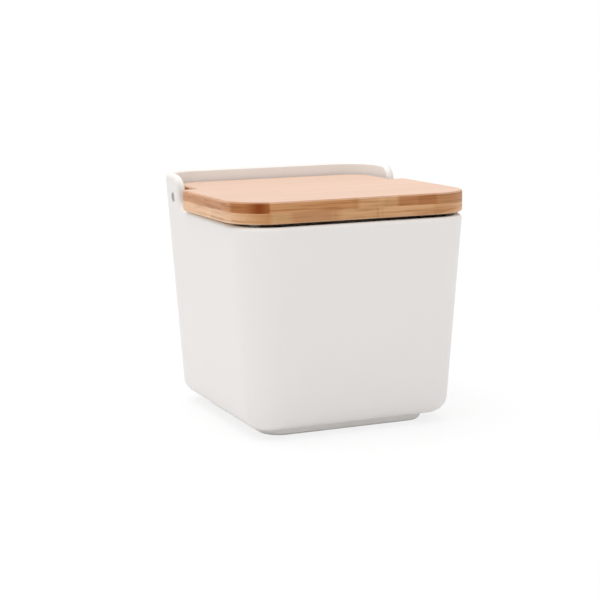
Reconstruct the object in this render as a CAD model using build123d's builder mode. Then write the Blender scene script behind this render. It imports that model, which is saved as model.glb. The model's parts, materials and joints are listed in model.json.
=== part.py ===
from build123d import *
import os
from math import cos, radians, sin, tan

os.makedirs("parts", exist_ok=True)

# Salt box: a drafted square ceramic pot whose back wall rises and wraps round the rear corners
# as two ears, and a two-ply bamboo lid that swings between the ears on a pair of short pins.
# Millimetres, +Z up, front towards -Y. The origin lies on the resting surface, under the
# centre of the overall width and depth.

# ---------------------------------------------------------------- driving dimensions
# pot
RIM_WIDTH = 125.0  # outer width at the rim
RIM_DEPTH = 126.0  # outer depth at the rim
RIM_HEIGHT = 106.5
DRAFT = 4.1  # degrees, all four sides lean out towards the top
CORNER_RADIUS = 20.5  # vertical corners, at the rim
WALL = 4.6
FLOOR_THICKNESS = 5.4
REAR_RISE = 17.0  # back wall and ears above the rim
RIM_ROUND = 2.0  # outer edge of the rim, the ears and the raised back
MOUTH_BEVEL = 0.9  # their inner edge
BOTTOM_ROUND = 8.8  # outer edge where the sides turn under
CAVITY_ROUND = 7.0  # inner edge where the sides meet the floor

# foot ring
FOOT_HEIGHT = 4.2
FOOT_INSET = 9.9  # from the outline that the sides would have at the resting surface
FOOT_RADIUS = 11.7
FOOT_RING_WIDTH = 6.0
FOOT_RECESS = 2.6
FOOT_BEVEL = 1.0

# ears
EAR_DEPTH = 34.1  # from the rear of the rim to the ears' front edge
EAR_TOP_RADIUS = 9.0
EAR_ROOT_RADIUS = 6.0

# lid board
LID_WIDTH = 128.4
LID_THICKNESS = 10.7
LID_GAP = 1.5  # above the rim, under the front edge
LID_PITCH = 0.8  # degrees, the closed lid lies a little higher at the front than at the rear
LID_SETBACK = 2.1  # front edge behind the front of the rim
LID_CORNER = 21.8
LID_EASE = 0.7  # bevelled top and bottom edges
SHOULDER_TO_EAR = 9.4  # cut-back in front of each ear
SHOULDER_ROUND = 2.5
NOTCH_ROUND = 1.5
TONGUE_SIDE_GAP = 2.2  # between the tongue and each ear
TONGUE_REAR_GAP = 1.35  # between the tongue and the back wall
UPPER_STRIPS = 5
LOWER_STRIPS = 6
LOWER_FIRST_STRIP = 14.0  # the lower ply's joints are staggered against the upper ply's

# hinge
PIN_TO_EAR_FRONT = 8.1
PIN_DIAMETER = 4.0
PIN_IN_BOARD = 12.0
PIN_RECESS = 0.6  # outer end below the ear's outer face
PIN_CHAMFER = 0.4
BUSH_DIAMETER = 5.5  # a push fit in the ear's hole
BUSH_BORE = 4.1
BUSH_RECESS = 0.3
BUSH_STANDOFF = 1.5  # inner end proud of the ear, keeps the board centred

# bumpers under the front corners of the board
BUMPER_DIAMETER = 5.0
BUMPER_CLEARANCE = 0.05
BUMPER_SOCKET = 1.0
BUMPER_GAP = 0.1  # left above the rim
BUMPER_X = 52.8
BUMPER_FROM_FRONT = 8.9  # behind the board's front edge

# ---------------------------------------------------------------- derived places
SLOPE = tan(radians(DRAFT))
AXIS_Y = -SLOPE * REAR_RISE / 2  # the raised back leans out past the rim
TOP = RIM_HEIGHT + REAR_RISE
REAR_OF_RIM = AXIS_Y + RIM_DEPTH / 2
FRONT_OF_RIM = AXIS_Y - RIM_DEPTH / 2
EAR_FRONT = REAR_OF_RIM - EAR_DEPTH
FLOOR = FOOT_RECESS + FLOOR_THICKNESS
WALL_ACROSS = WALL / cos(radians(DRAFT))  # the wall's thickness measured level

LID_FRONT = FRONT_OF_RIM + LID_SETBACK
SHOULDER = EAR_FRONT - SHOULDER_TO_EAR
PIN_Y = EAR_FRONT + PIN_TO_EAR_FRONT

# The board is drawn level, then turned about its pins until the front stands LID_GAP over the rim.
LID_BOTTOM = RIM_HEIGHT + LID_GAP - (PIN_Y - LID_FRONT) * sin(radians(LID_PITCH))
LID_MIDDLE = LID_BOTTOM + LID_THICKNESS / 2
PIN_Z = LID_MIDDLE


def half_width(height, inset=0.0):
    """Half the pot's outer width at a height, less an inset."""
    return RIM_WIDTH / 2 - SLOPE * (RIM_HEIGHT - height) - inset


def half_depth(height, inset=0.0):
    """Half the pot's outer depth at a height, less an inset."""
    return RIM_DEPTH / 2 - SLOPE * (RIM_HEIGHT - height) - inset


def corner(height, inset=0.0):
    """Radius of the pot's vertical corners at a height, less an inset."""
    return CORNER_RADIUS - SLOPE * (RIM_HEIGHT - height) - inset


def pot_outline(height, inset=0.0):
    """The pot's rounded outline at a height, drawn into the current sketch."""
    with Locations((0, AXIS_Y)):
        RectangleRounded(
            2 * half_width(height, inset),
            2 * half_depth(height, inset),
            corner(height, inset),
        )


def foot_outline(inset=0.0):
    """The foot's rounded outline, drawn into the current sketch."""
    with Locations((0, AXIS_Y)):
        RectangleRounded(
            2 * half_width(0, FOOT_INSET + inset),
            2 * half_depth(0, FOOT_INSET + inset),
            FOOT_RADIUS - inset,
        )


def pitched(part):
    """A level part of the lid turned about the pins' axis to the closed lid's pitch."""
    return part.rotate(Axis((0, PIN_Y, PIN_Z), (-1, 0, 0)), LID_PITCH)


def lies_on_top(edge):
    """True for the edges of the rim, of the ears and of the raised back."""
    return all(vertex.Z > RIM_HEIGHT - 0.01 for vertex in edge.vertices())


def crosses_at_ears(edge):
    """True for the level edges that cross the wall at the foot and at the head of an ear."""
    middle = edge.center()
    level = edge.tangent_at(0.5).cross(Vector(1, 0, 0)).length < 0.01
    return level and EAR_FRONT - EAR_ROOT_RADIUS - 0.1 < middle.Y < EAR_FRONT + EAR_TOP_RADIUS + 0.1


# ---------------------------------------------------------------- ceramic pot
with BuildPart() as ceramic_pot:
    # drafted outer block, full height
    with BuildSketch(Plane.XY.offset(FOOT_HEIGHT)):
        pot_outline(FOOT_HEIGHT)
    extrude(amount=TOP - FOOT_HEIGHT, taper=-DRAFT)
    fillet(ceramic_pot.edges().group_by(Axis.Z)[0], radius=BOTTOM_ROUND)

    # front and sides cut down to the rim, leaving the raised back and its two ears
    with BuildSketch(Plane.YZ):
        with BuildLine():
            root = (EAR_FRONT - EAR_ROOT_RADIUS, RIM_HEIGHT)
            front_low = (EAR_FRONT, RIM_HEIGHT + EAR_ROOT_RADIUS)
            front_high = (EAR_FRONT, TOP - EAR_TOP_RADIUS)
            crown = (EAR_FRONT + EAR_TOP_RADIUS, TOP)
            ahead = FRONT_OF_RIM - RIM_WIDTH / 2
            Line((ahead, RIM_HEIGHT), root)
            RadiusArc(root, front_low, -EAR_ROOT_RADIUS)
            Line(front_low, front_high)
            RadiusArc(front_high, crown, EAR_TOP_RADIUS)
            Polyline(
                crown,
                (crown[0], TOP + REAR_RISE),
                (ahead, TOP + REAR_RISE),
                (ahead, RIM_HEIGHT),
            )
        make_face()
    extrude(amount=RIM_WIDTH, both=True, mode=Mode.SUBTRACT)

    # outer edge rounded along the rim, up the ears and round the back
    top_edges = ceramic_pot.edges().filter_by(lies_on_top)
    fillet(top_edges - top_edges.filter_by(crosses_at_ears), radius=RIM_ROUND)

    # salt cavity, its upper edge bevelled and its floor rounded into the walls
    with BuildSketch(Plane.XY.offset(FLOOR)):
        pot_outline(FLOOR, WALL_ACROSS)
    extrude(amount=TOP - FLOOR + WALL, taper=-DRAFT, mode=Mode.SUBTRACT)
    cavity_edges = ceramic_pot.edges(Select.LAST)
    mouth_edges = cavity_edges.filter_by(lies_on_top)
    floor_edges = cavity_edges.group_by(Axis.Z)[0]
    chamfer(mouth_edges - mouth_edges.filter_by(crosses_at_ears), length=MOUTH_BEVEL)
    fillet(floor_edges, radius=CAVITY_ROUND)

    # foot, hollowed underneath into a ring
    with BuildSketch(Plane.XY.offset(FOOT_HEIGHT)):
        foot_outline()
    extrude(amount=-FOOT_HEIGHT)
    chamfer(ceramic_pot.edges().group_by(Axis.Z)[0], length=FOOT_BEVEL)
    with BuildSketch():
        foot_outline(FOOT_RING_WIDTH)
    extrude(amount=FOOT_RECESS, mode=Mode.SUBTRACT)

    # hinge holes through both ears
    with BuildSketch(Plane.YZ):
        with Locations((PIN_Y, PIN_Z)):
            Circle(BUSH_DIAMETER / 2)
    extrude(amount=RIM_WIDTH, both=True, mode=Mode.SUBTRACT)

ceramic_pot.part.label = "ceramic_pot"
export_step(ceramic_pot.part, "parts/ceramic_pot.step")

# ---------------------------------------------------------------- bushes and hinge pins
ear_outer = half_width(PIN_Z)
ear_inner = half_width(PIN_Z, WALL_ACROSS)
tongue_half = half_width(LID_BOTTOM, WALL_ACROSS + TONGUE_SIDE_GAP)

for side, name in ((-1, "left"), (1, "right")):
    # sleeve lining the ear's hole
    bush_outer_end = ear_outer - BUSH_RECESS
    bush_inner_end = ear_inner - BUSH_STANDOFF
    with BuildPart() as bush:
        with BuildSketch(Plane.YZ.offset(side * bush_inner_end)):
            with Locations((PIN_Y, PIN_Z)):
                Circle(BUSH_DIAMETER / 2)
                Circle(BUSH_BORE / 2, mode=Mode.SUBTRACT)
        extrude(amount=side * (bush_outer_end - bush_inner_end))
    bush.part.label = name + "_bush"
    export_step(bush.part, "parts/" + name + "_bush.step")

    # pin driven into the end of the board
    pin_outer_end = ear_outer - PIN_RECESS
    pin_inner_end = tongue_half - PIN_IN_BOARD
    with BuildPart() as pin:
        with BuildSketch(Plane.YZ.offset(side * pin_inner_end)):
            with Locations((PIN_Y, PIN_Z)):
                Circle(PIN_DIAMETER / 2)
        extrude(amount=side * (pin_outer_end - pin_inner_end))
        chamfer(pin.edges().filter_by(GeomType.CIRCLE), length=PIN_CHAMFER)
    pin.part.label = name + "_hinge_pin"
    export_step(pin.part, "parts/" + name + "_hinge_pin.step")

# ---------------------------------------------------------------- bamboo board
tongue_rear = AXIS_Y + half_depth(LID_BOTTOM, WALL_ACROSS + TONGUE_REAR_GAP)
tongue_corner = corner(LID_BOTTOM, WALL_ACROSS + TONGUE_SIDE_GAP)
bumper_y = LID_FRONT + BUMPER_FROM_FRONT

# wide front part, cut back in front of the ears to a tongue that reaches the back wall
with BuildSketch() as board_outline:
    with BuildLine():
        right_half = Polyline(
            (0, LID_FRONT),
            (LID_WIDTH / 2, LID_FRONT),
            (LID_WIDTH / 2, SHOULDER),
            (tongue_half, SHOULDER),
            (tongue_half, tongue_rear),
            (0, tongue_rear),
        )
        mirror(right_half, about=Plane.YZ)
    make_face()
    fillet(board_outline.vertices().group_by(Axis.Y)[0], radius=LID_CORNER)
    fillet(board_outline.vertices().group_by(Axis.Y)[-1], radius=tongue_corner)
    at_shoulder = board_outline.vertices().filter_by_position(Axis.Y, SHOULDER - 0.01, SHOULDER + 0.01)
    outer = at_shoulder.filter_by(lambda vertex: abs(vertex.X) > tongue_half + 0.01)
    fillet(outer, radius=SHOULDER_ROUND)
    at_shoulder = board_outline.vertices().filter_by_position(Axis.Y, SHOULDER - 0.01, SHOULDER + 0.01)
    inner = at_shoulder.filter_by(lambda vertex: abs(vertex.X) < tongue_half + 0.01)
    fillet(inner, radius=NOTCH_ROUND)

with BuildPart() as upper_ply:
    with BuildSketch(Plane.XY.offset(LID_MIDDLE)):
        add(board_outline.sketch)
    extrude(amount=LID_THICKNESS / 2)
    chamfer(upper_ply.faces().sort_by(Axis.Z)[-1].edges(), length=LID_EASE)

with BuildPart() as lower_ply:
    with BuildSketch(Plane.XY.offset(LID_BOTTOM)):
        add(board_outline.sketch)
    extrude(amount=LID_THICKNESS / 2)
    chamfer(lower_ply.faces().sort_by(Axis.Z)[0].edges(), length=LID_EASE)
    # shallow sockets for the bumpers
    with BuildSketch(Plane.XY.offset(LID_BOTTOM)):
        with Locations((-BUMPER_X, bumper_y), (BUMPER_X, bumper_y)):
            Circle(BUMPER_DIAMETER / 2 + BUMPER_CLEARANCE)
    extrude(amount=BUMPER_SOCKET, mode=Mode.SUBTRACT)

for ply in (upper_ply, lower_ply):
    with ply:
        for side in (-1, 1):
            with BuildSketch(Plane.YZ.offset(side * (tongue_half - PIN_IN_BOARD))):
                with Locations((PIN_Y, PIN_Z)):
                    Circle(PIN_DIAMETER / 2)
            extrude(amount=side * 2 * PIN_IN_BOARD, mode=Mode.SUBTRACT)

board_depth = tongue_rear - LID_FRONT
strip_width = board_depth / UPPER_STRIPS
upper_joints = [LID_FRONT + strip_width * i for i in range(UPPER_STRIPS + 1)]
lower_joints = [LID_FRONT]
lower_joints += [LID_FRONT + LOWER_FIRST_STRIP + strip_width * i for i in range(LOWER_STRIPS - 1)]
lower_joints += [tongue_rear]

for ply, word, joints in ((upper_ply, "upper", upper_joints), (lower_ply, "lower", lower_joints)):
    for number, (near, far) in enumerate(zip(joints, joints[1:]), start=1):
        with BuildPart() as strip:
            add(ply.part)
            with BuildSketch(Plane.XY.offset(LID_BOTTOM)):
                with Locations((0, (near + far) / 2)):
                    Rectangle(2 * LID_WIDTH, far - near)
            extrude(amount=LID_THICKNESS, mode=Mode.INTERSECT)
        piece = pitched(strip.part)
        piece.label = f"{word}_bamboo_strip_{number}"
        export_step(piece, "parts/" + piece.label + ".step")

# ---------------------------------------------------------------- bumpers
# once the board is pitched, the rear edge of a bumper's foot is its lowest place
bumper_lift = (PIN_Y - bumper_y - BUMPER_DIAMETER / 2) * sin(radians(LID_PITCH))
bumper_foot = RIM_HEIGHT + BUMPER_GAP - bumper_lift

for side, name in ((-1, "left"), (1, "right")):
    with BuildPart() as bumper:
        with BuildSketch(Plane.XY.offset(bumper_foot)):
            with Locations((side * BUMPER_X, bumper_y)):
                Circle(BUMPER_DIAMETER / 2)
        extrude(amount=LID_BOTTOM + BUMPER_SOCKET - bumper_foot)
    piece = pitched(bumper.part)
    piece.label = name + "_bumper"
    export_step(piece, "parts/" + piece.label + ".step")
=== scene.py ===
"""Salt box with a hinged bamboo lid: the finishes of its pieces, a pale stage and the camera.

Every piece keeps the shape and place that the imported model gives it. The file is laid out as an
add-on: settings that a user would change, one operator for each group of like pieces, and a panel.
"""

import json
import math

import bmesh
import bpy
from mathutils import Matrix, Vector

bl_info = {
    "name": "Salt Box Finishes",
    "version": (1, 0, 0),
    "blender": (4, 5, 0),
    "location": "View3D > Sidebar > Salt Box",
    "description": "Glaze, bamboo, hinge and stage for a ceramic salt box with a hinged lid",
    "category": "Material",
}

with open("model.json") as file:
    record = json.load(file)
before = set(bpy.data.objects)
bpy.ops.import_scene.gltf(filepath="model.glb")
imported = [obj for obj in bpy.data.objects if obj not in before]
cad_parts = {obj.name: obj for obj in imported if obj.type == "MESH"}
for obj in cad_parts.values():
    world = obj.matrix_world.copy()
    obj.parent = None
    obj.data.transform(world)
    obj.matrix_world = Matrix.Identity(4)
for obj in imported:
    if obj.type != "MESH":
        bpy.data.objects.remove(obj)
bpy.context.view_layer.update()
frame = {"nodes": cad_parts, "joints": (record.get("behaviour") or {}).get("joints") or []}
NODES = frame["nodes"]
HINGE = next(joint for joint in frame["joints"] if joint["name"] == "lid_hinge")
PIN_AXIS = Vector(HINGE["pos_m"])

MM = 0.001


def nodes_named(start):
    """The names of the model's nodes that begin with start, in order."""
    return sorted(name for name in NODES if name.startswith(start))


# Shader building -----------------------------------------------------------------------------


def plain(term):
    """True for a number or a tuple of numbers, which needs no node."""
    return not isinstance(term, Signal)


def single(term):
    """True for a number and for a signal that carries one value, not a vector or a colour."""
    return isinstance(term, (int, float)) if plain(term) else term.socket.type == "VALUE"


class Signal:
    """One output of a shader node. Arithmetic on it adds the nodes that work out the result."""

    def __init__(self, recipe, socket):
        self.recipe = recipe
        self.socket = socket

    def output(self, name):
        """Another output of the same node."""
        return Signal(self.recipe, self.socket.node.outputs[name])

    def combined(self, operation, left, right):
        """Left and right through a Math node, or through Vector Math where either has three parts."""
        terms = (left, right)
        if all(single(term) for term in terms):
            return self.recipe.add("ShaderNodeMath", {"operation": operation}, {0: left, 1: right})
        spread = [(term,) * 3 if isinstance(term, (int, float)) else term for term in terms]
        return self.recipe.add("ShaderNodeVectorMath", {"operation": operation}, dict(enumerate(spread)))

    def __add__(self, other):
        return self.combined("ADD", self, other)

    def __radd__(self, other):
        return self.combined("ADD", other, self)

    def __sub__(self, other):
        return self.combined("SUBTRACT", self, other)

    def __rsub__(self, other):
        return self.combined("SUBTRACT", other, self)

    def __mul__(self, other):
        return self.combined("MULTIPLY", self, other)

    def __rmul__(self, other):
        return self.combined("MULTIPLY", other, self)

    def __truediv__(self, other):
        return self.combined("DIVIDE", self, other)

    def __abs__(self):
        kind = "ShaderNodeMath" if self.socket.type == "VALUE" else "ShaderNodeVectorMath"
        return self.recipe.add(kind, {"operation": "ABSOLUTE"}, {0: self})

    def sine(self):
        return self.recipe.add("ShaderNodeMath", {"operation": "SINE"}, {0: self})

    def larger(self, other):
        return self.combined("MAXIMUM", self, other)

    def length(self):
        settings = {"operation": "LENGTH"}
        return self.recipe.add("ShaderNodeVectorMath", settings, {0: self}, output="Value")

    def parts(self):
        """The X, Y and Z parts of a vector."""
        first = self.recipe.add("ShaderNodeSeparateXYZ", {}, {"Vector": self})
        return first, first.output("Y"), first.output("Z")

    def rising(self, start, end):
        """0 below start, 1 above end, and smooth between them. It falls where start is the larger."""
        sockets = {"Value": self, "From Min": start, "From Max": end}
        return self.recipe.add("ShaderNodeMapRange", {"interpolation_type": "SMOOTHSTEP"}, sockets)

    def about(self, middle, reach):
        """This noise, from 0 to 1, as a value that ranges over reach about the middle."""
        return self * reach + (middle - reach * 0.5)

    def blended(self, other, share):
        """This colour where share is 0 and the other where it is 1."""
        sockets = {"Factor": share, "A": self, "B": other}
        return self.recipe.add("ShaderNodeMix", {"data_type": "RGBA"}, sockets)


class Recipe:
    """A node tree in the making, for a material or for the world."""

    def __init__(self, tree):
        tree.nodes.clear()
        self.tree = tree

    def add(self, kind, settings, sockets, output=None):
        """Adds a node: its settings first, then its sockets' values or links. Returns one output."""
        node = self.tree.nodes.new(kind)
        for name, value in settings.items():
            setattr(node, name, value)
        for name, value in sockets.items():
            socket = node.inputs[name] if isinstance(name, int) else self.shown(node.inputs, name)
            if plain(value):
                socket.default_value = opaque(value) if socket.type == "RGBA" else value
            else:
                self.tree.links.new(value.socket, socket)
        if not len(node.outputs):
            return None
        return Signal(self, node.outputs[output] if output else next(s for s in node.outputs if s.enabled))

    def shown(self, sockets, name):
        """The socket of that name that the node's settings leave in use."""
        return next(socket for socket in sockets if socket.enabled and socket.name == name)

    def position(self):
        """A point's place in the object's own frame, in metres."""
        return self.add("ShaderNodeTexCoord", {}, {}, output="Object")

    def facing(self):
        """The surface's own direction, in the object's frame."""
        return self.add("ShaderNodeTexCoord", {}, {}, output="Normal")

    def noise(self, place, detail=2.0, roughness=0.5):
        """Soft noise from 0 to 1, one swell to each unit of place."""
        sockets = {"Vector": place, "Scale": 1.0, "Detail": detail, "Roughness": roughness}
        return self.add("ShaderNodeTexNoise", {}, sockets)

    def cells(self, place):
        """The distance to the nearest of scattered points, about one to each unit of place."""
        return self.add("ShaderNodeTexVoronoi", {}, {"Vector": place, "Scale": 1.0})

    def bump(self, height, depth):
        """The surface's direction over a relief that is depth metres deep where height goes from 0 to 1."""
        return self.add("ShaderNodeBump", {}, {"Height": height, "Distance": depth, "Strength": 1.0})

    def surface(self, **sockets):
        """The finished surface, by the shader's own socket names with _ for a space."""
        named = {name.replace("_", " "): value for name, value in sockets.items()}
        shader = self.add("ShaderNodeBsdfPrincipled", {}, named)
        self.add("ShaderNodeOutputMaterial", {}, {"Surface": shader})


def opaque(colour):
    """A colour with its alpha."""
    return (*colour, 1.0)


def new_recipe(name):
    """A new material and its empty recipe."""
    material = bpy.data.materials.new(name)
    material.use_nodes = True
    return material, Recipe(material.node_tree)


def dress(node, material):
    """Gives a node of the model its material."""
    for slot in NODES[node].material_slots:
        slot.material = material


# Settings ------------------------------------------------------------------------------------


def colour_property(name, description, default):
    return bpy.props.FloatVectorProperty(
        name=name, description=description, default=default, size=3, min=0.0, max=1.0, subtype="COLOR"
    )


def share_property(name, description, default):
    return bpy.props.FloatProperty(
        name=name, description=description, default=default, min=0.0, max=1.0, subtype="FACTOR"
    )


def length_property(name, description, default):
    return bpy.props.FloatProperty(
        name=name, description=description, default=default, precision=5, subtype="DISTANCE", unit="LENGTH"
    )


def angle_property(name, description, degrees):
    return bpy.props.FloatProperty(
        name=name, description=description, default=math.radians(degrees), subtype="ANGLE", unit="ROTATION"
    )


class GlazeSettings(bpy.types.PropertyGroup):
    """The pot's satin white glaze and the bare clay that it stands on."""

    glaze: colour_property("Glaze", "Colour of the fired glaze", (0.828, 0.80, 0.776))
    # Painted light: a lighter glaze colour inside the pot and on its foot, which lifts the shade there.
    painted_light_glaze: colour_property(
        "Painted light glaze", "Lighter colour painted inside and on the foot to lift their shade", (0.95, 0.93, 0.9)
    )
    clay: colour_property("Clay", "Colour of the bare clay under the foot ring", (0.80, 0.76, 0.70))
    gloss_roughness: share_property("Roughness", "Roughness of the satin glaze", 0.42)
    unevenness: share_property("Unevenness", "How much the glaze's tone changes over the pot", 0.03)
    ripple: length_property("Ripple", "Depth of the glaze's slow ripple", 0.04 * MM)
    bare_height: length_property("Bare height", "How far up from the table the clay is left bare", 0.6 * MM)


class BambooSettings(bpy.types.PropertyGroup):
    """The laminated bamboo of the lid."""

    upper_face: colour_property("Upper face", "Sanded face of the upper ply", (0.745, 0.515, 0.392))
    upper_edge: colour_property("Upper edge", "Long edges of the upper ply", (0.516, 0.237, 0.095))
    upper_end: colour_property("Upper end", "Cut ends of the upper ply", (0.595, 0.312, 0.166))
    lower_face: colour_property("Lower face", "Sanded face of the lower ply", (0.72, 0.52, 0.36))
    lower_edge: colour_property("Lower edge", "Long edges of the lower ply", (0.53, 0.274, 0.122))
    lower_end: colour_property("Lower end", "Cut ends of the lower ply", (0.785, 0.505, 0.32))
    streak: colour_property("Streak", "Tint of the darker layers", (0.74, 0.6, 0.44))
    caramel: colour_property(
        "Caramel", "Colour of the darkened stretch at the front left corner", (0.225, 0.042, 0.0)
    )
    strip_change: share_property("Strip change", "How much the tone changes from strip to strip", 0.05)
    streaking: share_property("Streaking", "How strongly the layers show on the edges and ends", 0.6)
    roughness: share_property("Roughness", "Roughness of the oiled bamboo", 0.5)
    gloss: share_property("Gloss", "Strength of the oiled surface's reflection", 0.18)
    layer_pitch: length_property("Layer pitch", "Height over which the layers change their tone", 1.1 * MM)
    bundle_pitch: length_property("Bundle pitch", "Distance between fibre bundles", 0.75 * MM)
    fibre_length: length_property("Fibre length", "Length over which a streak keeps its tone", 30 * MM)
    relief: length_property("Relief", "Depth of the grain that can be felt", 0.03 * MM)
    node_width: length_property("Node width", "Width of a culm node's line", 0.9 * MM)


class HingeSettings(bpy.types.PropertyGroup):
    """The steel pins and the plastic bushes that they turn in."""

    steel: colour_property("Steel", "Colour of the turned steel pins", (0.60, 0.59, 0.57))
    steel_roughness: share_property("Steel roughness", "Roughness of the turned steel", 0.3)
    bush: colour_property("Bush", "Colour of the moulded bushes", (0.55, 0.55, 0.54))
    bush_roughness: share_property("Bush roughness", "Roughness of the moulded bushes", 0.5)
    turning_pitch: length_property("Turning pitch", "Distance between the lathe's marks", 0.16 * MM)


class BumperSettings(bpy.types.PropertyGroup):
    """The soft bumpers under the lid."""

    silicone: colour_property("Silicone", "Colour of the bumpers", (0.74, 0.74, 0.72))
    roughness: share_property("Roughness", "Roughness of the silicone", 0.38)
    clearness: share_property("Clearness", "How much light the silicone lets through", 0.85)


class StageSettings(bpy.types.PropertyGroup):
    """The pale floor, the soft light and the camera."""

    floor_radius: length_property("Floor radius", "Radius of the round floor", 4.0)
    floor: colour_property("Floor", "Colour of the floor", (0.93, 0.93, 0.93))
    shadow_lift: share_property("Shadow lift", "How far the floor's shadow is lifted towards white", 0.78)
    surround: share_property("Surround light", "How strongly the white surround lights the box", 0.65)
    key: bpy.props.FloatProperty(
        name="Key light", description="Strength of the wide key light", default=1.7, min=0.0
    )
    key_spread: angle_property("Key spread", "Width of the key light as the box sees it", 60.0)
    key_tilt: angle_property("Key tilt", "How far the key light stands off the vertical", 11.0)
    key_turn: angle_property("Key turn", "Which side the key light stands on, from the right", 152.0)
    azimuth: angle_property("Azimuth", "Camera's turn about the box; 0 looks at its front", -23.495)
    elevation: angle_property("Elevation", "Camera's height above the horizon", 10.2065)
    roll: angle_property("Roll", "Camera's lean", -0.3458)
    distance: length_property("Distance", "From the camera to the box's middle", 871.14 * MM)
    aim_right: length_property("Aim right", "How far the camera stands right of its line", -6.3057 * MM)
    aim_up: length_property("Aim up", "How far the camera stands above its line", 57.304 * MM)
    focal_length: bpy.props.FloatProperty(
        name="Focal length", description="Of a camera with a 36 mm sensor, in mm", default=98.43, min=10.0
    )


# Finishes ------------------------------------------------------------------------------------


# The pot's outline: the four places about which its corners turn, as far from its axis as POT_CORE,
# with the corners' radius at the rim and how far the walls lean out for each metre of height. The
# core's third part is higher than the pot, so that height doesn't count.
POT_AXIS_Y = -0.609 * MM
POT_CORE = (42.0 * MM, 42.5 * MM, 1.0)
RIM_CORNER = 20.5 * MM
RIM_HEIGHT = 106.5 * MM
FOOT_HEIGHT = 4.2 * MM
WALL_SLOPE = math.tan(math.radians(4.1))

# Where the glaze is painted lighter, as painted light that lifts the shade inside the pot and on its foot:
# so deep in from the walls' outside, and so high above the table.
INSIDE_DEPTH = (1.5 * MM, 3.5 * MM)
INSIDE_HEIGHT = (14.0 * MM, 24.0 * MM)
PAINTED_LIGHT_FOOT = (FOOT_HEIGHT + 1.0 * MM, FOOT_HEIGHT - 1.0 * MM)

# How many swells the glaze's clouds, ripples and grain have to the metre.
CLOUDS = 28.0
RIPPLES = 130.0
GLAZE_GRAIN = 900.0

# How far the clay's tone and the glaze's roughness range, and how much of the ripple is grain.
CLAY_RANGE = 0.2
CLOUDED_ROUGHNESS = 0.08
GRAINED_ROUGHNESS = 0.03
BARE_ROUGHNESS = 0.4
GRAIN_IN_RIPPLE = 0.05


def make_glaze(settings):
    """Satin white glaze with a slow ripple, on a foot ring wiped bare."""
    material, recipe = new_recipe("satin_glaze")
    place = recipe.position()
    height = place.parts()[2]
    beyond_core = (abs(place - (0.0, POT_AXIS_Y, 0.0)) - POT_CORE).larger((0.0, 0.0, 0.0)).length()
    depth = RIM_CORNER - WALL_SLOPE * (RIM_HEIGHT - height) - beyond_core
    inside = depth.rising(*INSIDE_DEPTH) * height.rising(*INSIDE_HEIGHT)
    # Painted light: the mask where the glaze turns lighter inside the pot and on its foot, to lift their
    # shade.
    painted_light = inside.larger(height.rising(*PAINTED_LIGHT_FOOT))
    bare = height.rising(settings.bare_height, settings.bare_height * 0.5)
    clouds = recipe.noise(place * CLOUDS, detail=3.0)
    grain = recipe.noise(place * GLAZE_GRAIN, detail=1.0)
    ripple = recipe.noise(place * RIPPLES)
    glaze = clouds.about(1.0, settings.unevenness) * tuple(settings.glaze)
    # The lighter glaze inside the pot and on its foot is painted light.
    glaze = glaze.blended(tuple(settings.painted_light_glaze), painted_light)
    clay = grain.about(1.0, CLAY_RANGE) * tuple(settings.clay)
    roughness = clouds.about(settings.gloss_roughness, CLOUDED_ROUGHNESS)
    recipe.surface(
        Base_Color=glaze.blended(clay, bare),
        Roughness=roughness + grain.about(0.0, GRAINED_ROUGHNESS) + bare * BARE_ROUGHNESS,
        Normal=recipe.bump(ripple + grain * GRAIN_IN_RIPPLE, settings.ripple),
    )
    return material


# The closed board lies higher at the front: its rise for each metre towards the front.
LID_RISE = math.tan(math.radians(0.8))

# The settings that colour a ply's flat face, its long edges and its cut ends.
CUT_COLOURS = {
    "upper": ("upper_face", "upper_edge", "upper_end"),
    "lower": ("lower_face", "lower_edge", "lower_end"),
}

# How far up a rounded edge faces, from 0 to 1, where it takes the flat face's colour. This is partly the
# face's own colour running over the edge and partly a painted highlight along the arris.
FACE_COLOUR_AND_HIGHLIGHT_ARRIS = (0.3, 0.8)

# What sets each strip's noise apart from its neighbour's, and the lower ply's from the upper's.
STRIP_SEED = 3.7
LOWER_SEED = 41.0

# Along X, Y and Z: swells to the metre of the grain's sway and of the face's bands, and how far
# the grain sways.
SWAY_RATE = (9.0, 20.0, 20.0)
BAND_RATE = (6.0, 210.0, 20.0)
FIBRE_RATE = 2500.0
SWAY = (0.0, 1.6 * MM, 0.6 * MM)

# How strongly bands and fibres show, and where a layer or a cut fibre bundle is a dark one.
BAND_STRENGTH = 0.25
FIBRE_STRENGTH = 0.12
DARK_LAYER = (0.02, -0.16)
DARK_BUNDLE = (0.34, 0.14)
BUNDLE_STRENGTH = 0.3
FIBRE_ROUGHNESS = 0.16
LAYER_RELIEF = 0.5

# The darker core that shows on the upper ply's cut ends, from its underside up.
CORE_START = 0.9 * MM
CORE_END = 3.6 * MM
CORE_SOFTNESS = 0.5 * MM
CORE_TINT = (0.9, 0.84, 0.79)

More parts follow.
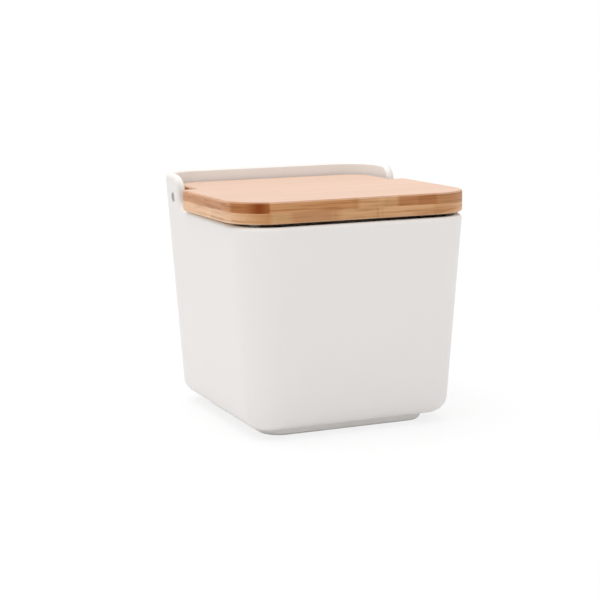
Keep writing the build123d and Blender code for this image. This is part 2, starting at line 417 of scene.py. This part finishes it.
# What shows along X on the front strips' cut side: (start, end, softness of the ends, tint). The
# wide ones are lengths of bamboo butted end to end, and the narrow ones are culm nodes.
FRONT_TINTS = {
    "upper_bamboo_strip_1": (
        (-48.0 * MM, -22.0 * MM, 4.0 * MM, (1.04, 1.1, 1.14)),
        (-5.0 * MM, -2.4 * MM, 1.0 * MM, (0.93, 0.92, 0.92)),
        (-1.7 * MM, 19.6 * MM, 1.6 * MM, (1.13, 1.33, 1.56)),
        (8.8 * MM, 12.2 * MM, 0.9 * MM, (1.05, 1.1, 1.14)),
        (19.6 * MM, 30.6 * MM, 1.4 * MM, (0.85, 0.8, 0.76)),
        (30.6 * MM, 41.2 * MM, 1.2 * MM, (0.76, 0.66, 0.57)),
        (41.8 * MM, 64.0 * MM, 1.2 * MM, (0.86, 0.89, 0.92)),
    ),
    "lower_bamboo_strip_1": (
        (-68.0 * MM, -47.6 * MM, 1.5 * MM, (0.9, 0.8, 0.64)),
        (-47.6 * MM, -37.0 * MM, 1.5 * MM, (1.01, 1.09, 1.13)),
        (-37.0 * MM, -15.5 * MM, 2.5 * MM, (0.88, 0.84, 0.85)),
        (-14.6 * MM, -13.8 * MM, 0.4 * MM, (0.92, 0.88, 0.84)),
        (-11.5 * MM, 10.0 * MM, 2.0 * MM, (1.1, 1.18, 1.26)),
        (7.9 * MM, 9.0 * MM, 0.4 * MM, (0.88, 0.84, 0.79)),
        (10.6 * MM, 11.4 * MM, 0.4 * MM, (0.92, 0.89, 0.86)),
        (10.0 * MM, 39.0 * MM, 2.0 * MM, (1.21, 1.3, 1.45)),
        (39.0 * MM, 66.0 * MM, 2.0 * MM, (1.11, 1.11, 1.17)),
    ),
}

# The caramel length at the front left corner. Along X it turns dark, then fades again before its
# end, and it reaches back round the corner to CARAMEL_BACK along Y.
CARAMEL_STRIP = "upper_bamboo_strip_1"
CARAMEL_STRETCH = (-63.0 * MM, -48.2 * MM, 0.6 * MM)
CARAMEL_BACK = (-43.0 * MM, -45.0 * MM)
CARAMEL_TINT = (0.75, 0.58, 0.4)
CARAMEL_TURN = (-59.5 * MM, -52.5 * MM)
CARAMEL_FADE = (-53.5 * MM, -47.5 * MM)
FADED_SHARE = 0.7
BURNT_SHARE = 0.96
BURNT_LAYERS = 0.9

# Culm nodes on the other strips: how far their places spread along X, how far their lines sway, and
# how strongly they show on a face and on a side.
NODE_SPREAD = 110.0 * MM
NODE_SWAY = 2.0 * MM
NODE_TINT = (0.8, 0.7, 0.58)
NODE_ON_FACE = 0.2
NODE_ON_SIDE = 0.6
GOLDEN_SHARE = 0.618


def window(place, start, end, softness):
    """1 between start and end, falling to 0 over the softness on either side."""
    return place.rising(start - softness, start + softness) * place.rising(end + softness, end - softness)


def make_bamboo(name, ply, strip, settings):
    """One strip of the board. Its fibres run along X, in thin layers that show on its edges and ends."""
    seed = strip * STRIP_SEED + (0.0 if ply == "upper" else LOWER_SEED)
    material, recipe = new_recipe(name + "_bamboo")
    place = recipe.position()
    place = place + (place.parts()[1] - PIN_AXIS.y) * (0.0, 0.0, LID_RISE)
    along, across, up = place.parts()
    end_share, edge_share, face_share = (recipe.facing() * recipe.facing()).parts()
    side_share = 1.0 - face_share

    sway = recipe.noise(place * SWAY_RATE + (seed,) * 3, detail=1.0) - 0.5
    swaying = place + sway * SWAY
    reach = 1.0 / settings.fibre_length
    layer = 1.0 / settings.layer_pitch
    bundle = 1.0 / settings.bundle_pitch
    layers = recipe.noise(swaying * (reach, reach, layer) + (seed,) * 3, detail=3.0, roughness=0.6) - 0.5
    bands = recipe.noise(swaying * BAND_RATE + (seed, 0.0, seed)) - 0.5
    fibres = recipe.noise(swaying * (reach, FIBRE_RATE, FIBRE_RATE) + (seed, seed, 0.0)) - 0.5
    bundles = recipe.cells(swaying * (reach * 0.5, bundle, bundle) + (seed,) * 3)

    face, edge, end = (tuple(getattr(settings, cut)) for cut in CUT_COLOURS[ply])
    colour = (edge_share * edge + end_share * end) / side_share.larger(0.01)
    # The rounded edges take the paler face colour: partly the face's own colour, partly a painted
    # highlight.
    colour = colour.blended(face, face_share.rising(*FACE_COLOUR_AND_HIGHLIGHT_ARRIS))
    tone = 1.0 + (strip * GOLDEN_SHARE % 1.0 - 0.5) * settings.strip_change
    streaks = side_share * layers * settings.streaking
    grain = streaks + face_share * bands * BAND_STRENGTH + fibres * FIBRE_STRENGTH
    colour = colour * (grain + tone)
    dark_layers = layers.rising(*DARK_LAYER) * side_share * settings.streaking
    colour = colour.blended(colour * tuple(settings.streak), dark_layers)
    dark_bundles = bundles.rising(*DARK_BUNDLE) * end_share * BUNDLE_STRENGTH
    colour = colour.blended(colour * tuple(settings.streak), dark_bundles)
    if ply == "upper":
        core = window(up, PIN_AXIS.z + CORE_START, PIN_AXIS.z + CORE_END, CORE_SOFTNESS)
        colour = colour.blended(colour * CORE_TINT, core * end_share)
    for start, far_end, softness, tint in FRONT_TINTS.get(name, ()):
        colour = colour.blended(colour * tint, window(along, start, far_end, softness) * edge_share)
    if name == CARAMEL_STRIP:
        warm = window(along, *CARAMEL_STRETCH) * (across.rising(*CARAMEL_BACK) * side_share)
        fading = 1.0 - along.rising(*CARAMEL_FADE) * FADED_SHARE
        burnt = along.rising(*CARAMEL_TURN) * fading * (layers * BURNT_LAYERS + BURNT_SHARE)
        colour = colour.blended(colour * CARAMEL_TINT, warm)
        colour = colour.blended(tuple(settings.caramel), burnt * warm)
    if name not in FRONT_TINTS:
        node = (strip * GOLDEN_SHARE % 1.0 - 0.5) * NODE_SPREAD
        line = abs(along + sway * NODE_SWAY - node).rising(settings.node_width, settings.node_width * 0.3)
        colour = colour.blended(colour * NODE_TINT, line * (NODE_ON_FACE + side_share * NODE_ON_SIDE))

    recipe.surface(
        Base_Color=colour,
        Roughness=fibres * FIBRE_ROUGHNESS + settings.roughness,
        Specular_IOR_Level=settings.gloss,
        Normal=recipe.bump(fibres + layers * LAYER_RELIEF, settings.relief),
    )
    return material


# The small fittings' noise in swells to the metre, how far it changes their tone and roughness, and
# how deep their fine marks are.
STEEL_SMUDGES = 700.0
STEEL_TONE = 0.16
STEEL_POLISH = 0.14
LATHE_MARKS = 0.004 * MM
PLASTIC_CLOUDS = 300.0
PLASTIC_GRAIN = 4200.0
PLASTIC_TONE = 0.06
PLASTIC_POLISH = 0.16
SPARK_MARKS = 0.01 * MM
SILICONE_DUST = 3000.0
DUSTY = (0.55, 0.75)
DUST_TONE = 0.1
DUST_ROUGHNESS = 0.25
DUST_DEPTH = 0.006 * MM


def make_steel(settings):
    """Turned steel: fine rings about the pin's axis."""
    material, recipe = new_recipe("turned_steel")
    place = recipe.position()
    centre = (0.0, PIN_AXIS.y, PIN_AXIS.z)
    radius = ((place - centre) * (0.0, 1.0, 1.0)).length()
    ends = (radius * (math.tau / settings.turning_pitch)).sine()
    along = (place.parts()[0] * (math.tau / settings.turning_pitch)).sine()
    smudges = recipe.noise(place * STEEL_SMUDGES)
    recipe.surface(
        Base_Color=smudges.about(1.0, STEEL_TONE) * tuple(settings.steel),
        Metallic=1.0,
        Roughness=smudges.about(settings.steel_roughness, STEEL_POLISH),
        Normal=recipe.bump(ends * along * 0.5 + 0.5, LATHE_MARKS),
    )
    return material


def make_bush_plastic(settings):
    """Moulded grey plastic with a spark-eroded grain."""
    material, recipe = new_recipe("moulded_plastic")
    place = recipe.position()
    grain = recipe.noise(place * PLASTIC_GRAIN)
    clouds = recipe.noise(place * PLASTIC_CLOUDS)
    recipe.surface(
        Base_Color=clouds.about(1.0, PLASTIC_TONE) * tuple(settings.bush),
        Roughness=grain.about(settings.bush_roughness, PLASTIC_POLISH),
        Normal=recipe.bump(grain, SPARK_MARKS),
    )
    return material


def make_silicone(settings):
    """Clear grey silicone, a little dusty."""
    material, recipe = new_recipe("soft_silicone")
    place = recipe.position()
    dust = recipe.noise(place * SILICONE_DUST).rising(*DUSTY)
    recipe.surface(
        Base_Color=dust.about(1.0, DUST_TONE) * tuple(settings.silicone),
        Roughness=dust * DUST_ROUGHNESS + settings.roughness,
        Transmission_Weight=settings.clearness,
        Normal=recipe.bump(dust, DUST_DEPTH),
    )
    return material


# Stage ---------------------------------------------------------------------------------------

WHITE = (1.0, 1.0, 1.0)
FLOOR_SEGMENTS = 96
SENSOR_WIDTH = 36.0


def rays_that_see(recipe):
    """1 for the rays that find a white background: those seen directly, reflected or through glass."""
    camera = recipe.add("ShaderNodeLightPath", {}, {}, output="Is Camera Ray")
    return camera.larger(camera.output("Is Glossy Ray")).larger(camera.output("Is Transmission Ray"))


def light_world(settings):
    """A white surround that is seen at full white and lights the box more softly."""
    world = bpy.data.worlds.new("white_surround")
    world.use_nodes = True
    bpy.context.scene.world = world
    recipe = Recipe(world.node_tree)
    strength = rays_that_see(recipe) * (1.0 - settings.surround) + settings.surround
    sky = recipe.add("ShaderNodeBackground", {}, {"Color": WHITE, "Strength": strength})
    recipe.add("ShaderNodeOutputWorld", {}, {"Surface": sky})


def make_floor(settings):
    """A round pale floor that reads as white and keeps the box's shadow."""
    mesh = bpy.data.meshes.new("pale_floor")
    disc = bmesh.new()
    bmesh.ops.create_circle(disc, cap_ends=True, segments=FLOOR_SEGMENTS, radius=settings.floor_radius)
    disc.to_mesh(mesh)
    disc.free()
    floor = bpy.data.objects.new("pale_floor", mesh)
    bpy.context.scene.collection.objects.link(floor)
    material, recipe = new_recipe("pale_floor")
    matt = recipe.add("ShaderNodeBsdfDiffuse", {}, {"Color": tuple(settings.floor)})
    white = recipe.add("ShaderNodeEmission", {}, {"Color": WHITE, "Strength": 1.0})
    share = rays_that_see(recipe) * settings.shadow_lift
    shown = recipe.add("ShaderNodeMixShader", {}, {0: share, 1: matt, 2: white})
    recipe.add("ShaderNodeOutputMaterial", {}, {"Surface": shown})
    mesh.materials.append(material)


def hang_key_light(settings):
    """One wide lamp overhead, leaning to the left and a little behind."""
    lamp = bpy.data.lights.new("key_light", "SUN")
    lamp.energy = settings.key
    lamp.angle = settings.key_spread
    key = bpy.data.objects.new("key_light", lamp)
    bpy.context.scene.collection.objects.link(key)
    tilt, turn = settings.key_tilt, settings.key_turn
    towards = Vector((math.sin(tilt) * math.cos(turn), math.sin(tilt) * math.sin(turn), math.cos(tilt)))
    key.rotation_mode = "QUATERNION"
    key.rotation_quaternion = towards.to_track_quat("Z", "Y")


def stand_camera(settings):
    """The camera looks at the front and the left side, a little from above."""
    azimuth, elevation, roll = settings.azimuth, settings.elevation, settings.roll
    level = math.cos(elevation)
    back = Vector((math.sin(azimuth) * level, -math.cos(azimuth) * level, math.sin(elevation)))
    right = Vector((math.cos(azimuth), math.sin(azimuth), 0.0))
    up = back.cross(right)
    leaning_right = right * math.cos(roll) + up * math.sin(roll)
    leaning_up = up * math.cos(roll) - right * math.sin(roll)
    data = bpy.data.cameras.new("camera")
    data.sensor_width = SENSOR_WIDTH
    data.lens = settings.focal_length
    camera = bpy.data.objects.new("camera", data)
    bpy.context.scene.collection.objects.link(camera)
    aside = leaning_right * settings.aim_right + leaning_up * settings.aim_up
    camera.location = back * settings.distance + aside
    camera.rotation_mode = "QUATERNION"
    camera.rotation_quaternion = Matrix((leaning_right, leaning_up, back)).transposed().to_quaternion()
    bpy.context.scene.camera = camera


# Operators -----------------------------------------------------------------------------------


class SALTBOX_OT_glaze_pot(bpy.types.Operator):
    """Glaze the ceramic pot and leave its foot ring bare"""

    bl_idname = "salt_box.glaze_pot"
    bl_label = "Glaze the Pot"

    def execute(self, context):
        dress("ceramic_pot", make_glaze(context.scene.salt_box_glaze))
        return {"FINISHED"}


class SALTBOX_OT_lay_bamboo(bpy.types.Operator):
    """Give every strip of the lid its own bamboo"""

    bl_idname = "salt_box.lay_bamboo"
    bl_label = "Lay the Bamboo"

    def execute(self, context):
        for ply in ("upper", "lower"):
            for strip, name in enumerate(nodes_named(ply + "_bamboo_strip_"), start=1):
                dress(name, make_bamboo(name, ply, strip, context.scene.salt_box_bamboo))
        return {"FINISHED"}


class SALTBOX_OT_fit_hinge(bpy.types.Operator):
    """Finish the steel hinge pins and their plastic bushes"""

    bl_idname = "salt_box.fit_hinge"
    bl_label = "Finish the Hinge"

    def execute(self, context):
        settings = context.scene.salt_box_hinge
        steel = make_steel(settings)
        plastic = make_bush_plastic(settings)
        for side in ("left", "right"):
            dress(side + "_hinge_pin", steel)
            dress(side + "_bush", plastic)
        return {"FINISHED"}


class SALTBOX_OT_fit_bumpers(bpy.types.Operator):
    """Finish the silicone bumpers under the lid"""

    bl_idname = "salt_box.fit_bumpers"
    bl_label = "Finish the Bumpers"

    def execute(self, context):
        silicone = make_silicone(context.scene.salt_box_bumpers)
        for side in ("left", "right"):
            dress(side + "_bumper", silicone)
        return {"FINISHED"}


class SALTBOX_OT_set_stage(bpy.types.Operator):
    """Set up the pale floor, the soft light and the camera"""

    bl_idname = "salt_box.set_stage"
    bl_label = "Set the Stage"

    def execute(self, context):
        settings = context.scene.salt_box_stage
        light_world(settings)
        make_floor(settings)
        hang_key_light(settings)
        stand_camera(settings)
        context.scene.view_settings.view_transform = "Standard"
        return {"FINISHED"}


class SALTBOX_PT_finishes(bpy.types.Panel):
    """Lists the steps of the salt box and their settings"""

    bl_idname = "SALTBOX_PT_finishes"
    bl_label = "Salt Box"
    bl_space_type = "VIEW_3D"
    bl_region_type = "UI"
    bl_category = "Salt Box"

    def draw(self, context):
        for group, operator in STEPS:
            settings = getattr(context.scene, group)
            box = self.layout.box()
            box.operator(operator.bl_idname)
            for name in settings.bl_rna.properties.keys():
                if name not in ("rna_type", "name"):
                    box.prop(settings, name)


STEPS = (
    ("salt_box_glaze", SALTBOX_OT_glaze_pot),
    ("salt_box_bamboo", SALTBOX_OT_lay_bamboo),
    ("salt_box_hinge", SALTBOX_OT_fit_hinge),
    ("salt_box_bumpers", SALTBOX_OT_fit_bumpers),
    ("salt_box_stage", SALTBOX_OT_set_stage),
)
GROUPS = {
    "salt_box_glaze": GlazeSettings,
    "salt_box_bamboo": BambooSettings,
    "salt_box_hinge": HingeSettings,
    "salt_box_bumpers": BumperSettings,
    "salt_box_stage": StageSettings,
}
CLASSES = (*GROUPS.values(), *(operator for _, operator in STEPS), SALTBOX_PT_finishes)


def register():
    for cls in CLASSES:
        bpy.utils.register_class(cls)
    for name, group in GROUPS.items():
        setattr(bpy.types.Scene, name, bpy.props.PointerProperty(type=group))


def unregister():
    for name in GROUPS:
        delattr(bpy.types.Scene, name)
    for cls in reversed(CLASSES):
        bpy.utils.unregister_class(cls)


def main():
    """Runs every step in order."""
    register()
    bpy.ops.salt_box.glaze_pot()
    bpy.ops.salt_box.lay_bamboo()
    bpy.ops.salt_box.fit_hinge()
    bpy.ops.salt_box.fit_bumpers()
    bpy.ops.salt_box.set_stage()


if __name__ == "__main__":
    main()
